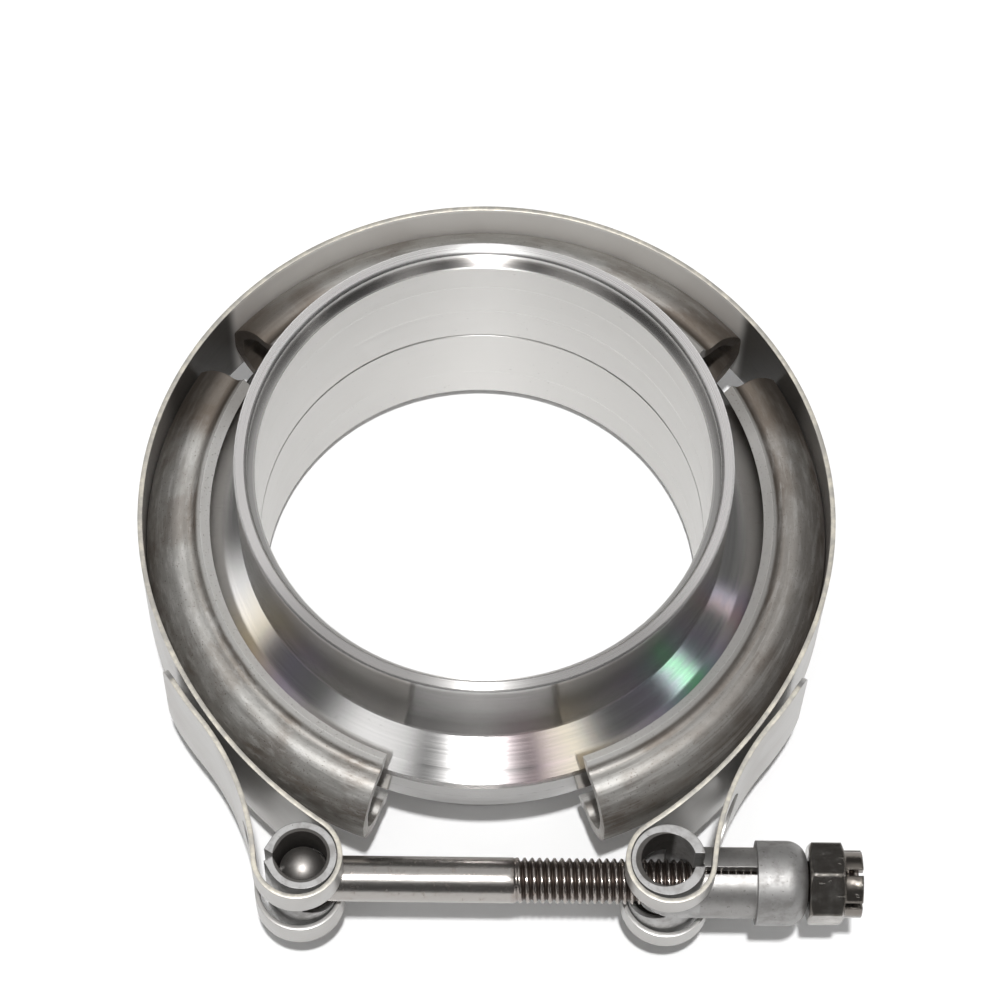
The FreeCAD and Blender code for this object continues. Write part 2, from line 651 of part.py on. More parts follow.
def sleeve_cap():
    """The collar on the end of the sleeve, round towards the nut."""
    body = new_body("sleeve_cap")
    disc = new_sketch(body, "disc", "YZ_Plane")
    circle(disc, "cap_radius")
    pad(body, "collar", disc, "cap_length")

    def is_far_rim(edge):
        """Whether an edge is the outer rim on the nut's side."""
        return edge.CenterOfMass.x > value("cap_length") - 0.001

    round_edges(body, "rounding", "cap_rounding", is_far_rim)
    hole = new_sketch(body, "hole", "YZ_Plane")
    circle(hole, BOLT_BORE)
    pocket(body, "bolt_way", hole, "cap_length * 3", symmetric=True)
    place_in_clamp(body, "sleeve_end", LOOP_ACROSS)


def lock_nut():
    """The hexagon nut with a slotted collar that grips the thread."""
    body = new_body("lock_nut")
    hexagon = new_sketch(body, "hexagon", "YZ_Plane")
    corner_reach = value("nut_flats") / math.sqrt(3)
    first = 90 + value("nut_rest_angle")
    corners = []
    for i in range(6):
        bearing = math.radians(first + 60 * i)
        corners.append(Vector(corner_reach * math.cos(bearing), corner_reach * math.sin(bearing), 0))
    sides = []
    for a, b in zip(corners, corners[1:] + corners[:1]):
        sides.append(hexagon.addGeometry(Part.LineSegment(a, b), False))
    ring = hexagon.addGeometry(
        Part.Circle(Vector(0, 0, 0), Vector(0, 0, 1), corner_reach), True
    )
    hexagon.addConstraint(Sketcher.Constraint("Coincident", ring, 3, -1, 1))
    for i, side in enumerate(sides):
        hexagon.addConstraint(Sketcher.Constraint("Coincident", side, 2, sides[(i + 1) % 6], 1))
        hexagon.addConstraint(Sketcher.Constraint("PointOnObject", side, 1, ring))
        if i:
            hexagon.addConstraint(Sketcher.Constraint("Equal", side, sides[0]))
    drive(hexagon, "Distance", sides[3], 1, sides[0], "nut_flats")
    drive(hexagon, "Angle", -1, 1, sides[0], 1, "nut_rest_angle - 150")
    pad(body, "hexagon_pad", hexagon, "nut_length")
    trim = new_sketch(body, "corner_trim", "XZ_Plane")
    tall = "nut_flats"
    low = "nut_flats / 2"
    for near, far in (("0", "nut_chamfer * 2"), ("nut_length", "nut_length - nut_chamfer * 2")):
        outline(trim, [(near, low), (far, f"{low} + nut_chamfer * 4"), (far, tall), (near, tall)])
    groove = body.newObject("PartDesign::Groove", "lock_nut_chamfers")
    groove.Profile = trim
    groove.ReferenceAxis = (trim, ["H_Axis"])
    groove.Angle = 360
    collar = new_sketch(body, "collar_round", "YZ_Plane")
    circle(collar, "lock_radius")
    pad(body, "collar", collar, "nut_length + lock_length")
    slot = new_sketch(body, "collar_slot", "XY_Plane")
    outline(
        slot,
        [
            ("nut_length", "0 - lock_slot / 2"),
            ("nut_length + lock_length", "0 - lock_slot / 2"),
            ("nut_length + lock_length", "lock_slot / 2"),
            ("nut_length", "lock_slot / 2"),
        ],
    )
    cut = pocket(body, "collar_cut", slot, "lock_radius", reversed_side=True)
    doc.recompute()
    around = body.newObject("PartDesign::PolarPattern", "lock_nut_slots")
    around.Originals = [cut]
    around.Axis = (hexagon, ["N_Axis"])
    around.Angle = 360
    around.setExpression("Occurrences", bound("lock_slots"))
    body.Tip = around
    hole = new_sketch(body, "hole", "YZ_Plane")
    circle(hole, BOLT_BORE)
    pocket(body, "bolt_way", hole, "nut_length * 4", symmetric=True)
    place_in_clamp(body, "sleeve_end + cap_length + nut_gap", LOOP_ACROSS)


flange("upper_flange", "upper_height", Vector(1, 0, 0), 0)
flange("lower_flange", "lower_height", Vector(1, 0, 0), 180)
back = 90
turn = value("segment_angle + segment_gap_angle")
segment("back_retainer", back)
segment("left_retainer", back + turn)
segment("right_retainer", back - turn)
band()
saddle_bush()
t_bolt()
barrel_trunnion()
sleeve_cap()
lock_nut()


doc.recompute()
pieces = [o for o in doc.Objects if o.TypeId == "PartDesign::Body"]
for item in doc.Objects:
    if "Invalid" in item.State or "Error" in item.State:
        raise RuntimeError(f"{item.Name}: {item.State}")
os.makedirs("parts", exist_ok=True)
for piece in pieces:
    if piece.Shape.isNull() or not piece.Shape.isValid():
        raise RuntimeError(f"{piece.Label} has no valid shape")
    print(piece.Label, len(piece.Shape.Solids), round(piece.Shape.Volume, 1), piece.Shape.BoundBox)
    piece.Shape.exportStep(os.path.join("parts", f"{piece.Label}.step"))
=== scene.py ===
"""V band clamp round a pair of exhaust flanges, dressed for a studio picture.

All sizes in the classes are millimetres in the part's frame: the flange axis is Z, the bolt lies
along X on the -Y side with its nut towards +X.
"""

import json
import logging
import math
from dataclasses import dataclass, field
from enum import Enum
from typing import Any, Mapping, Optional, Sequence, Union

import bmesh
import bpy
import numpy as np
from mathutils import Matrix, Vector

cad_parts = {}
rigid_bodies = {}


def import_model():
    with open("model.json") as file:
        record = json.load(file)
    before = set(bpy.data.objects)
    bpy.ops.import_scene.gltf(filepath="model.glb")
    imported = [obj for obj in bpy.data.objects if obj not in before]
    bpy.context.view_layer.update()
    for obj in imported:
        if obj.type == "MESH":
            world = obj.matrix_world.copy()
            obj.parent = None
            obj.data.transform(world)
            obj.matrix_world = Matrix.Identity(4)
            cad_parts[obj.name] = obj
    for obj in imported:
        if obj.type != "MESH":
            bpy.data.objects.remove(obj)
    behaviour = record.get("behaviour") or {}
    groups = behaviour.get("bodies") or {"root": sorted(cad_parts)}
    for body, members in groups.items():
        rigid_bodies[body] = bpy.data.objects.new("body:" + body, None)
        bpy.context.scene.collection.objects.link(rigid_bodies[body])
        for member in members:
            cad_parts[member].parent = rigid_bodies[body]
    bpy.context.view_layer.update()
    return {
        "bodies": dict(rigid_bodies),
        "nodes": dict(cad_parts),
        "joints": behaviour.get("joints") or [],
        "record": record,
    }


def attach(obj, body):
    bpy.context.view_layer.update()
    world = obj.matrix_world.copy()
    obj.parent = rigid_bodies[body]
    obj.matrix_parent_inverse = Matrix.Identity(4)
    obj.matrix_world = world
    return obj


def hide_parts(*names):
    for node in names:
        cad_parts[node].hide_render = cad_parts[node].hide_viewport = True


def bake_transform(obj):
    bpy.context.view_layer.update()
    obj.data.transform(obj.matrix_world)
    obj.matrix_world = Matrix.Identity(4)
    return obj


LOG = logging.getLogger("v_band_clamp")
MM = 0.001
Rgb = tuple[float, float, float]
Point = tuple[float, float, float]
Number = Union[float, "Value"]

CLAMP_CENTRE: Point = (0.45, -0.35, 15.05)
BOLT_AXIS: Point = (0.0, -41.2, 15.05)
THREAD_START = 3.6
THREAD_CREST = 2.45
THREAD_DEPTH = 0.42
QUARTER_TURN = 0.25
EDGE_SAMPLES = 6


class Side(Enum):
    """The two halves of the clamp, by the sign of their place along the bolt."""

    LEFT = -1.0
    RIGHT = 1.0


# Shader arithmetic


class Value:
    """A shader socket that takes part in ordinary arithmetic."""

    def __init__(self, graph: "Graph", socket: Optional[bpy.types.NodeSocket]) -> None:
        """Wrap a socket.

        Args:
            graph: the node graph that the socket belongs to.
            socket: the output socket, or nothing for a node that ends a graph.
        """
        self.graph = graph
        self.socket = socket

    def _math(self, operation: str, first: Any, second: Any = 0.0) -> "Value":
        """Add one Math node.

        Args:
            operation: the name of the sum.
            first: its first operand.
            second: its second operand.

        Returns:
            The result.
        """
        return self.graph.node(
            "ShaderNodeMath", {"operation": operation}, {0: first, 1: second}
        )

    def __add__(self, other: Number) -> "Value":
        """self + other."""
        return self._math("ADD", self, other)

    def __radd__(self, other: Number) -> "Value":
        """other + self."""
        return self._math("ADD", other, self)

    def __sub__(self, other: Number) -> "Value":
        """self - other."""
        return self._math("SUBTRACT", self, other)

    def __rsub__(self, other: Number) -> "Value":
        """other - self."""
        return self._math("SUBTRACT", other, self)

    def __mul__(self, other: Number) -> "Value":
        """self * other."""
        return self._math("MULTIPLY", self, other)

    def __rmul__(self, other: Number) -> "Value":
        """other * self."""
        return self._math("MULTIPLY", other, self)

    def absolute(self) -> "Value":
        """The value without its sign."""
        return self._math("ABSOLUTE", self)

    def root(self) -> "Value":
        """The square root of the value."""
        return self._math("SQRT", self)

    def step(self, low: float, high: float) -> "Value":
        """A smooth step of the value.

        Args:
            low: where the step leaves 0.
            high: where it reaches 1; below low for a falling step.

        Returns:
            The step, between 0 and 1.
        """
        start, end = (low, high) if low < high else (high, low)
        rising = low < high
        return self.graph.node(
            "ShaderNodeMapRange",
            {"interpolation_type": "SMOOTHSTEP"},
            {0: self, 1: start, 2: end, 3: 0.0 if rising else 1.0, 4: 1.0 if rising else 0.0},
        )


class Graph:
    """The node tree of one material or of the world."""

    def __init__(self, tree: bpy.types.NodeTree) -> None:
        """Empty the tree.

        Args:
            tree: the node tree to fill.
        """
        self.tree = tree
        tree.nodes.clear()

    def node(
        self,
        kind: str,
        settings: Mapping[str, Any] | None = None,
        inputs: Mapping[Any, Any] | None = None,
        output: int | str = 0,
    ) -> Value:
        """Add a node, set it up and link its sockets.

        Args:
            kind: the node's type.
            settings: its own settings, set before the sockets; "stops" sets a colour ramp.
            inputs: value or link of each socket, by index or name.
            output: which output to hand back.

        Returns:
            The chosen output, which is empty for a node that ends the graph.
        """
        made = self.tree.nodes.new(kind)
        for name, setting in (settings or {}).items():
            if name == "stops":
                ramp = made.color_ramp
                while len(ramp.elements) < len(setting):
                    ramp.elements.new(0.5)
                for element, (place, colour) in zip(ramp.elements, setting):
                    element.position = place
                    element.color = (*colour, 1.0)
            else:
                setattr(made, name, setting)
        for name, given in (inputs or {}).items():
            target = made.inputs[name]
            if isinstance(given, Value):
                self.tree.links.new(given.socket, target)
            elif isinstance(given, tuple) and target.type == "RGBA":
                target.default_value = (*given, 1.0)
            else:
                target.default_value = given
        return Value(self, made.outputs[output] if len(made.outputs) else None)

    def place(self, centre: Sequence[float] = (0.0, 0.0, 0.0)) -> Value:
        """The point on the piece, in millimetres from a centre.

        Args:
            centre: the centre in millimetres.

        Returns:
            The point as a vector.
        """
        where = self.node("ShaderNodeTexCoord", output="Object")
        scale = {0: where, "Scale": 1.0 / MM}
        scaled = self.node("ShaderNodeVectorMath", {"operation": "SCALE"}, scale)
        return self.node("ShaderNodeVectorMath", {"operation": "SUBTRACT"}, {0: scaled, 1: centre})

    def split(self, vector: Value) -> tuple[Value, Value, Value]:
        """Take a vector apart.

        Args:
            vector: the vector.

        Returns:
            Its three parts.
        """
        made = self.node("ShaderNodeSeparateXYZ", inputs={0: vector})
        x, y, z = (Value(self, part) for part in made.socket.node.outputs)
        return x, y, z

    def join(self, x: Number, y: Number, z: Number) -> Value:
        """A vector of three parts."""
        return self.node("ShaderNodeCombineXYZ", inputs={0: x, 1: y, 2: z})

    def noise(self, where: Value, scale: float, detail: float = 2.0, rough: float = 0.5) -> Value:
        """Soft noise about 0.5.

        Args:
            where: the point.
            scale: cells per unit of the point.
            detail: number of finer layers.
            rough: how strong each finer layer is.

        Returns:
            The noise value.
        """
        return self.node(
            "ShaderNodeTexNoise",
            {"noise_dimensions": "3D"},
            {"Vector": where, "Scale": scale, "Detail": detail, "Roughness": rough},
        )

    def blend(self, amount: Number, first: Any, second: Any) -> Value:
        """Mix two colours.

        Args:
            amount: share of the second colour.
            first: the first colour.
            second: the second colour.

        Returns:
            The mixed colour.
        """
        return self.node(
            "ShaderNodeMix", {"data_type": "RGBA"}, {0: amount, 6: first, 7: second}, output=2
        )

    def bump(self, height: Value, depth: float, edge: float = 0.0) -> Value:
        """A bumped normal.

        Args:
            height: the height in millimetres.
            depth: share of the height that counts.
            edge: how far the piece's edges look rounded, in millimetres.

        Returns:
            The normal.
        """
        inputs: dict[Any, Any] = {"Height": height, "Distance": MM, "Strength": depth}
        if edge:
            rounded = {"Radius": edge * MM}
            inputs["Normal"] = self.node("ShaderNodeBevel", {"samples": EDGE_SAMPLES}, rounded)
        return self.node("ShaderNodeBump", inputs=inputs)


def steel(
    name: str,
    colour: Value,
    rough: Value,
    normal: Value,
    streak: float = 0.0,
    metal: Number = 1.0,
) -> bpy.types.Material:
    """Finish a metal material from its worked-out colour, roughness and normal.

    Args:
        name: the material's name.
        colour: its colour.
        rough: its roughness.
        normal: its bumped normal.
        streak: how far highlights stretch away from the flange axis, across its turned rings.
        metal: share of the surface that mirrors; the rest is dull skin.

    Returns:
        The material that the graph of these values belongs to.
    """
    graph = colour.graph
    shader = graph.node(
        "ShaderNodeBsdfPrincipled",
        inputs={
            "Base Color": colour,
            "Roughness": rough,
            "Metallic": metal,
            "Normal": normal,
            "Anisotropic": streak,
            "Anisotropic Rotation": QUARTER_TURN,
        },
    )
    graph.node("ShaderNodeOutputMaterial", inputs={"Surface": shader})
    return bpy.data.materials[name]


def new_graph(name: str) -> Graph:
    """Start a material.

    Args:
        name: the material's name.

    Returns:
        Its empty graph.
    """
    material = bpy.data.materials.new(name)
    material.use_nodes = True
    return Graph(material.node_tree)


# Finishes


@dataclass(frozen=True)
class TurnedSteel:
    """Bright steel from a lathe: fine rings round the flange axis and a faint painted rainbow
    sheen.
    """

    name: str = "turned_flange_steel"
    colour: Rgb = (0.72, 0.71, 0.70)
    bore: Rgb = (0.66, 0.65, 0.63)
    shade: Rgb = (0.25, 0.24, 0.23)
    painted_face_sheen: Rgb = (0.98, 0.95, 0.94)
    rose: Rgb = (0.80, 0.66, 0.68)
    lilac: Rgb = (0.68, 0.64, 0.74)
    teal: Rgb = (0.62, 0.74, 0.76)
    green: Rgb = (0.48, 0.92, 0.62)
    gold: Rgb = (0.82, 0.75, 0.62)
    pit: Rgb = (0.30, 0.29, 0.28)
    roughness: float = 0.18
    streak: float = 0.95
    rim_top: float = 17.8
    neck_foot: float = 21.2
    neck_top: float = 33.0
    bore_radius: float = 25.0

    def painted_rainbow_sheen(self, graph: Graph, place: Value, ripple: Value) -> Value:
        """Painted rainbow sheen in fans on the upper cone, plain colour elsewhere.

        The colour follows the angle round the axis, from the back over -X to the front and on.

        Args:
            graph: the material's graph.
            place: the point in millimetres.
            ripple: soft noise that makes the fans uneven.

        Returns:
            The tinted colour.
        """
        x, y, z = graph.split(place)
        turn = graph.node("ShaderNodeMath", {"operation": "ARCTAN2"}, {0: x, 1: y * -1.0})
        share = turn * (0.5 / math.pi) + 0.5 + (ripple - 0.5) * 0.02
        # Painted sheen: these rainbow colours stand in for the diffraction colours of the turned
        # grooves.
        fans = [
            (-70, self.colour),
            (-58, self.gold),
            (-47, self.lilac),
            (-38, self.colour),
            (2, self.colour),
            (11, self.rose),
            (20, self.gold),
            (30, self.colour),
            (40, self.lilac),
            (46, self.teal),
            (50, self.green),
            (54, self.teal),
            (59, self.lilac),
            (64, self.colour),
            (67, self.rose),
            (71, self.lilac),
            (76, self.colour),
        ]
        stops = [(0.5 + angle / 360.0, colour) for angle, colour in fans]
        fan = graph.node("ShaderNodeValToRGB", {"stops": stops}, {0: share})
        rim_top, neck_foot = self.rim_top, self.neck_foot
        on_cone = z.step(rim_top, rim_top + 0.6) * z.step(neck_foot, neck_foot - 0.6)
        return graph.blend(on_cone, self.colour, fan)

    def material(self) -> bpy.types.Material:
        """Build the material.

        The rings are noise over radius and height, drawn out round the axis. The neck is painted
        darker than the cone as painted shade, and the facing cut on its top carries a painted
        highlight at its sides and painted shade in front.

        Returns:
            The finished material.
        """
        graph = new_graph(self.name)
        place = graph.place()
        x, y, z = graph.split(place)
        radius = (x * x + y * y).root()
        lathe = graph.join(radius, z, (x + y) * 0.004)
        rings = graph.noise(lathe, 3.2, 3.0, 0.7)
        bands = graph.noise(lathe, 0.8, 2.0, 0.5)
        pits = graph.noise(place, 1.9, 2.0, 0.5).step(0.70, 0.76)
        inside = radius.step(self.bore_radius + 0.1, self.bore_radius - 0.1)
        colour = graph.blend(inside * 0.8, self.painted_rainbow_sheen(graph, place, bands), self.bore)
        colour = graph.blend(pits * 0.25, colour, self.pit)
        foot, top = self.neck_foot, self.neck_top
        # Painted shade: the neck is darkened to stand in for the dark reflections it shows.
        neck = z.step(foot - 0.2, foot + 0.4) * z.step(top - 0.4, top - 0.8) * (1.0 - inside)
        colour = graph.blend(neck * 0.55, colour, self.shade)
        faced = z.step(top, top + 0.1)
        # Painted highlight: the sides of the facing cut are made almost white.
        painted_sheen_beside = x.absolute().step(3.0, 14.0)
        colour = graph.blend(faced * painted_sheen_beside * 0.8, colour, self.painted_face_sheen)
        # Painted shade: the front of the facing cut is darkened.
        colour = graph.blend(faced * y.step(-10.0, -22.0) * 0.5, colour, self.shade)
        rough = self.roughness + (rings - 0.5) * 0.10 + (bands - 0.5) * 0.08 + inside * 0.12
        rough = rough + faced * 0.09
        height = rings * 0.005 + bands * 0.006
        return steel(self.name, colour, rough, graph.bump(height, 0.6, 0.04), self.streak)


@dataclass(frozen=True)
class RolledStrip:
    """Bright rolled strip: faint draw lines along the band, and a few rubbed scratches."""

    name: str = "rolled_band_steel"
    colour: Rgb = (0.52, 0.51, 0.495)
    dull: Rgb = (0.43, 0.41, 0.39)
    painted_pale_sheen: Rgb = (0.90, 0.88, 0.85)
    shadow: Rgb = (0.07, 0.065, 0.06)
    sheared: Rgb = (0.48, 0.46, 0.42)
    edge: Rgb = (0.80, 0.75, 0.64)
    roughness: float = 0.32
    centre: Point = CLAMP_CENTRE
    half_width: float = 7.0
    segment_end: float = 24.3
    gap_end: float = 10.0

    def material(self) -> bpy.types.Material:
        """Build the material.

        The draw lines are noise that is fine over the height and long along the band. The edges
        are sheared, so they are rougher, with a painted yellow glint here and there. The inner
        side, whose normal points towards the clamp axis, carries a painted pale sheen at the back
        that is darker towards its bottom, and painted shade in the gaps between the segments.

        Returns:
            The finished material.
        """
        graph = new_graph(self.name)
        place = graph.place(self.centre)
        x, y, z = graph.split(place)
        lines = graph.noise(graph.join(x * 0.03, y * 0.03, z * 1.0), 5.0, 4.0, 0.6)
        cloud = graph.noise(place, 0.12, 3.0, 0.5)
        scratch = graph.noise(graph.join(x * 0.25, y * 0.25, z * 2.2), 1.6, 5.0, 0.7)
        shear = graph.noise(graph.join(x * 0.35, y * 0.35, z), 2.2, 3.0, 0.6)
        facing_x, facing_y, _ = graph.split(graph.node("ShaderNodeTexCoord", output="Normal"))
        outward = facing_x * x + facing_y * y
        rim = z.absolute().step(self.half_width - 0.14, self.half_width - 0.02)
        inner = outward.step(4.0, -4.0) * (1.0 - rim)
        behind = y.step(self.segment_end - 0.7, self.segment_end + 0.7)
        # Painted light: the inner side at the back is made pale and less metallic to stand in for
        # a bright reflection.
        pale = inner * behind
        # Painted shade: the inner side in the gaps between the segments is made near black.
        painted_gap_shade = inner * y.step(self.gap_end, self.gap_end + 5.0) * (1.0 - behind)
        shade = graph.blend(cloud.step(0.35, 0.75) * 0.6, self.colour, self.dull)
        shade = graph.blend(pale * 0.95, shade, self.painted_pale_sheen)
        # Painted shade: the pale back is darkened towards its bottom.
        shade = graph.blend(pale * z.step(6.5, 0.0) * 0.4, shade, self.dull)
        shade = graph.blend(painted_gap_shade * 0.93, shade, self.shadow)
        # Painted highlight: a bright yellow glint is mixed into the sheared edges here and there.
        cut = graph.blend(shear.step(0.32, 0.80), self.sheared, self.edge)
        colour = graph.blend(rim, shade, cut)
        marks = scratch.step(0.62, 0.68)
        rough = self.roughness + (lines - 0.5) * 0.2 + cloud * 0.08 + marks * 0.1 + rim * 0.06
        height = lines * 0.006 + marks * 0.002 + shear * rim * 0.02
        metal = 0.75 - pale * 0.62 - rim * 0.05 - painted_gap_shade * 0.55
        return steel(self.name, colour, rough, graph.bump(height, 0.6), metal=metal)


@dataclass(frozen=True)
class FormedSheet:
    """Dull rolled sheet of the V segments: draw lines, brown stain, grit and long scores."""

    name: str = "formed_segment_steel"
    colour: Rgb = (0.44, 0.43, 0.41)
    stain_and_shade: Rgb = (0.22, 0.185, 0.155)
    bright: Rgb = (0.70, 0.69, 0.67)
    pit: Rgb = (0.16, 0.13, 0.11)
    painted_end_shade: Rgb = (0.10, 0.085, 0.07)
    painted_arm_shade: Rgb = (0.16, 0.15, 0.14)
    roughness: float = 0.52
    centre: Point = CLAMP_CENTRE
    lip_radius: float = 32.1

    def material(self) -> bpy.types.Material:
        """Build the material.

        The draw lines run round the clamp axis; the stain is cloudy and stretched with them, and
        gathers at the foot of the outer wall and in the crease. The segments' ends by the gaps and
        the right arm are darkened as painted shade. The cut lip inside is bright.

        Returns:
            The finished material.
        """
        graph = new_graph(self.name)
        place = graph.place(self.centre)
        x, y, z = graph.split(place)
        radius = (x * x + y * y).root()
        drawn = graph.join(radius, z, (x - y) * 0.02)
        lines = graph.noise(drawn, 2.2, 4.0, 0.62)
        scores = graph.noise(graph.join(radius, z, (x - y) * 0.09), 3.4, 3.0, 0.55)
        cloud = graph.noise(graph.join(x, y, z * 1.5), 0.16, 4.0, 0.6)
        grit = graph.noise(place, 3.2, 4.0, 0.7)
        pits = graph.noise(place, 4.5, 1.0, 0.5).step(0.66, 0.72)
        blotch = graph.noise(graph.join(radius * 1.4, z * 1.4, (x - y) * 0.35), 0.8, 5.0, 0.68)
        low = (radius.step(36.2, 37.2) + radius.step(33.4, 32.7)).step(0.0, 1.0)
        cut = radius.step(self.lip_radius + 0.2, self.lip_radius - 0.2)
        # Painted shade: the segments' ends by the gaps are darkened with the stain colour and a
        # near black, with fewer bright rubbed patches.
        ends = y.step(31.0, 22.0) * y.step(7.0, 14.0)
        # Painted shade: the right arm is darkened with the stain colour and a dark grey.
        right_arm = x.step(4.0, 18.0) * y.step(14.0, 2.0) * y.step(-32.0, -20.0)
        # The stain mix is real stain in the cloud, at the wall's foot and in the crease, and
        # painted shade at the ends and on the right arm.
        stain_and_shade = cloud.step(0.42, 0.66) * 0.5 + low * 0.3 + ends * 0.8 + right_arm * 0.4
        stained_and_shaded = graph.blend(stain_and_shade, self.colour, self.stain_and_shade)
        rubbed = blotch.step(0.46, 0.70) * 0.45 + scores.step(0.58, 0.72) * 0.25
        rubbed = rubbed * (1.0 - ends * 0.7)
        worn = graph.blend(rubbed, stained_and_shaded, self.bright)
        worn = graph.blend(cut * 0.8, worn, self.bright)
        worn = graph.blend(ends * 0.5, worn, self.painted_end_shade)
        worn = graph.blend(right_arm * 0.4, worn, self.painted_arm_shade)
        colour = graph.blend(pits * 0.5, worn, self.pit)
        rough = self.roughness + (lines - 0.5) * 0.15 + (grit - 0.5) * 0.25 + (blotch - 0.5) * 0.35
        rough = rough + right_arm * 0.10 + ends * 0.08
        height = lines * 0.02 + scores * 0.008 + grit * 0.02 + blotch * 0.03 - pits * 0.01
        metal = 0.88 - cut * 0.55
        return steel(self.name, colour, rough, graph.bump(height, 0.6, 0.12), metal=metal)


@dataclass(frozen=True)
class TumbledSteel:
    """Matt tumbled steel of the barrels, sleeve and collar."""

    name: str = "tumbled_barrel_steel"
    colour: Rgb = (0.46, 0.455, 0.45)
    dark: Rgb = (0.27, 0.26, 0.25)
    painted_bore_shade: Rgb = (0.05, 0.045, 0.04)
    speck: Rgb = (0.14, 0.13, 0.12)
    roughness: float = 0.58
    middle: float = 0.325
    barrel_along: float = 19.175
    barrel_across: float = 41.2
    bore: float = 3.05
    sleeve_start: float = 23.5
    sleeve_end: float = 29.45

    def material(self) -> bpy.types.Material:
        """Build the material.

        Two layers of noise give a fine peened surface with a few duller spots. The bores of the
        two barrels, found by their distance from the barrels' axes, are darkened as painted shade.
        The sleeve is smoother and darker than the barrels, and its collar a little.

        Returns:
            The finished material.
        """
        graph = new_graph(self.name)
        place = graph.place()
        x, y, z = graph.split(place)
        peen = graph.noise(place, 3.5, 4.0, 0.65)
        spots = graph.noise(place, 0.7, 3.0, 0.6)
        scuffs = graph.noise(graph.join(x * 0.5, y * 1.6, z * 1.6), 1.4, 4.0, 0.7).step(0.62, 0.68)
        specks = graph.noise(place, 3.0, 1.0, 0.5).step(0.70, 0.75)
        shade = graph.blend(spots.step(0.42, 0.7) * 0.65, self.colour, self.dark)
        across = (x - self.middle).absolute() - self.barrel_along
        reach = (across * across + (y + self.barrel_across) * (y + self.barrel_across)).root()
        # Painted shade: the barrels' bores are made near black.
        bore = reach.step(self.bore + 0.05, self.bore - 0.05)
        shade = graph.blend(bore * 0.9, shade, self.painted_bore_shade)
        start, end = self.sleeve_start, self.sleeve_end
        collar = x.step(end - 0.05, end + 0.05)
        sleeve = x.step(start - 0.1, start + 0.1) * (1.0 - collar)
        shade = graph.blend(sleeve * 0.65 + collar * 0.35, shade, self.dark)
        colour = graph.blend(specks * 0.5, shade, self.speck)
        rough = self.roughness + (peen - 0.5) * 0.25 + (spots - 0.5) * 0.15 - scuffs * 0.08
        rough = rough - sleeve * 0.12 - collar * 0.03
        height = peen * 0.016 + spots * 0.02 + scuffs * 0.004
        return steel(self.name, colour, rough, graph.bump(height, 0.6, 0.16), metal=0.85)


@dataclass(frozen=True)
class RolledRod:
    """Drawn rod of the T bolt, darker and browner in the roots of its thread."""

    name: str = "rolled_bolt_steel"
    colour: Rgb = (0.42, 0.40, 0.38)
    brown: Rgb = (0.28, 0.23, 0.20)
    root: Rgb = (0.08, 0.06, 0.05)
    roughness: float = 0.23
    pin_edge: float = -16.3
    axis: Point = BOLT_AXIS
    thread_start: float = THREAD_START
    crest: float = THREAD_CREST
    depth: float = THREAD_DEPTH

    def material(self) -> bpy.types.Material:
        """Build the material.

        The roots are found by their distance from the bolt's axis. The thread is browner than the
        plain shank, and the pin head is duller.

        Returns:
            The finished material.
        """
        graph = new_graph(self.name)
        place = graph.place(self.axis)
        x, y, z = graph.split(place)
        reach = (y * y + z * z).root()
        in_thread = x.step(self.thread_start - 0.4, self.thread_start)
        root = reach.step(self.crest - 0.06, self.crest - self.depth) * in_thread
        lines = graph.noise(graph.join(x * 0.12, y, z), 4.0, 3.0, 0.6)
        nicks = graph.noise(place, 1.3, 4.0, 0.7)
        worn = nicks.step(0.5, 0.7) * 0.6
        shade = graph.blend(worn * 0.7 + in_thread * 0.4, self.colour, self.brown)
        colour = graph.blend(root * 0.95, shade, self.root)
        pin = x.step(self.pin_edge, self.pin_edge - 0.3)
        rough = self.roughness + (lines - 0.5) * 0.14 + nicks.step(0.6, 0.7) * 0.12 + root * 0.2
        rough = rough + pin * 0.26
        height = lines * 0.008 + nicks * 0.008
        return steel(self.name, colour, rough, graph.bump(height, 0.6), metal=0.97)


@dataclass(frozen=True)
class PlatedNut:
    """Dark glossy nut with rubbed corners and fine scratches."""

    name: str = "plated_nut_steel"
    colour: Rgb = (0.42, 0.40, 0.37)
    dark: Rgb = (0.20, 0.18, 0.16)
    scratched: Rgb = (0.66, 0.64, 0.60)
    roughness: float = 0.15
    collar_start: float = 38.6

    def material(self) -> bpy.types.Material:
        """Build the material.

        Long thin noise makes the scratches, round noise the duller patches. The slotted collar is
        the darkest.

        Returns:
            The finished material.
        """
        graph = new_graph(self.name)
        place = graph.place()
        x, y, z = graph.split(place)
        scratch = graph.noise(graph.join(x * 0.5, y * 1.8, z * 1.8), 1.1, 4.0, 0.75)
        patch = graph.noise(place, 0.6, 3.0, 0.6)
        dents = graph.noise(place, 0.9, 2.0, 0.5)
        marks = scratch.step(0.62, 0.68)
        shade = graph.blend(patch.step(0.35, 0.6) * 0.8, self.colour, self.dark)
        collar = x.step(self.collar_start, self.collar_start + 0.3)
        shade = graph.blend(collar * 0.9, shade, self.dark)
        colour = graph.blend(marks * 0.45, shade, self.scratched)
        rough = self.roughness + marks * 0.15 + (patch - 0.5) * 0.14
        height = marks * 0.01 + dents * 0.05
        return steel(self.name, colour, rough, graph.bump(height, 0.7, 0.45), metal=0.95)


# Mesh building


